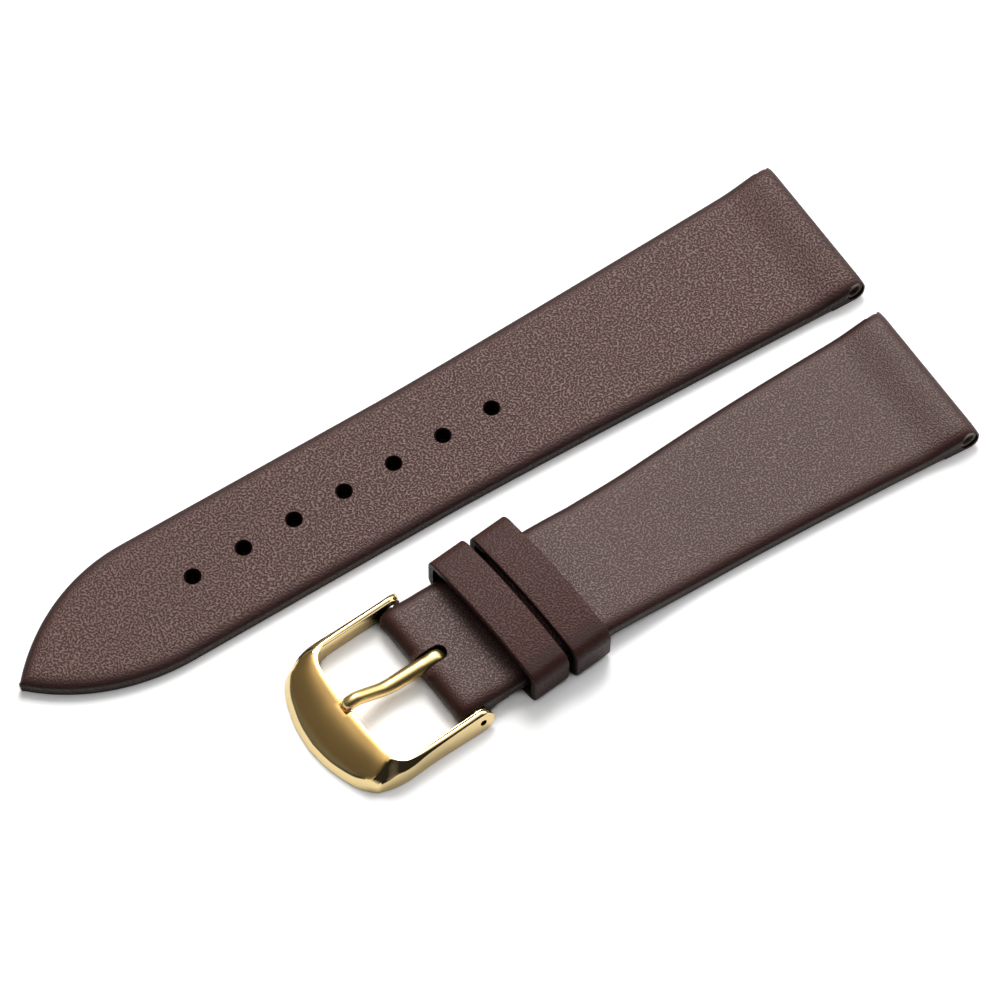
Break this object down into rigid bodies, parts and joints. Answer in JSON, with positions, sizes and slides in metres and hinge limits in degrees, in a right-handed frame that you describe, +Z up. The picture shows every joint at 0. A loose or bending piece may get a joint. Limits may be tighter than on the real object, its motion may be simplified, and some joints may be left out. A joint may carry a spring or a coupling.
{
  "type": "leather watch strap",
  "caption": "Flat leather watch strap in separate halves: a pointed tail with adjustment holes, and a buckle side with leather keepers and a gold-tone pin buckle on a spring bar.",
  "frame": {"origin": "centre of the laid-out pair's box, on the table under it", "axes": "+X along both halves towards their lug ends, +Y across from the buckle side to the tail, +Z up out of the leather's face"},
  "size_m": [0.12, 0.048, 0.007],
  "materials": {
    "calf_upper": "fine-grained dark brown calf with a soft sheen and painted edges",
    "keeper_calf": "smoother red-brown calf",
    "lining_leather": "plain lining leather",
    "filler_board": "bonded leather board",
    "reinforcing_tape": "woven tape, grey-white",
    "gold_plate": "gold-plated, polished with a satin front face",
    "bar_steel": "turned stainless steel"
  },
  "bodies": {
    "buckle_side": {"buckle_side_upper": "calf_upper", "buckle_side_filler": "filler_board", "buckle_side_lining": "lining_leather", "buckle_side_lug_sleeve": "reinforcing_tape", "fixed_keeper": "keeper_calf", "fixed_keeper_lining": "lining_leather", "bar_tube": "bar_steel", "bar_spring": "bar_steel"},
    "tail": {"tail_upper": "calf_upper", "tail_filler": "filler_board", "tail_lining": "lining_leather", "tail_lug_sleeve": "reinforcing_tape"},
    "sliding_keeper": {"sliding_keeper": "keeper_calf", "sliding_keeper_lining": "lining_leather"},
    "buckle": {"buckle_frame": "gold_plate"},
    "tongue": {"buckle_tongue": "gold_plate"},
    "bar_pin_far": {"bar_pin_far": "bar_steel"},
    "bar_pin_near": {"bar_pin_near": "bar_steel"}
  },
  "joints": [
    {"name": "tail_lift", "type": "slide", "parent": "buckle_side", "child": "tail", "axis": [0, 0, 1], "range_m": [0, 0.03]},
    {"name": "keeper_slide", "type": "slide", "parent": "buckle_side", "child": "sliding_keeper", "axis": [1, 0, 0], "range_m": [-0.002, 0.0005]},
    {"name": "buckle_swing", "type": "hinge", "parent": "buckle_side", "child": "buckle", "pos_m": [-0.01595, -0.01278, 0.00175], "axis": [-0.061, 0.9981, 0], "range_deg": [-90, 30]},
    {"name": "tongue_swing", "type": "hinge", "parent": "buckle", "child": "tongue", "pos_m": [-0.01595, -0.01278, 0.00175], "axis": [-0.061, 0.9981, 0], "range_deg": [0, 70]},
    {"name": "pin_far_press", "type": "slide", "parent": "buckle_side", "child": "bar_pin_far", "axis": [0.061, -0.9981, 0], "range_m": [0, 0.0012], "stiffness_N_per_m": 4, "springref_m": -0.001, "deforming": ["bar_spring"]},
    {"name": "pin_near_press", "type": "slide", "parent": "buckle_side", "child": "bar_pin_near", "axis": [-0.061, 0.9981, 0], "range_m": [0, 0.0012], "stiffness_N_per_m": 4, "springref_m": -0.001, "deforming": ["bar_spring"]}
  ]
}
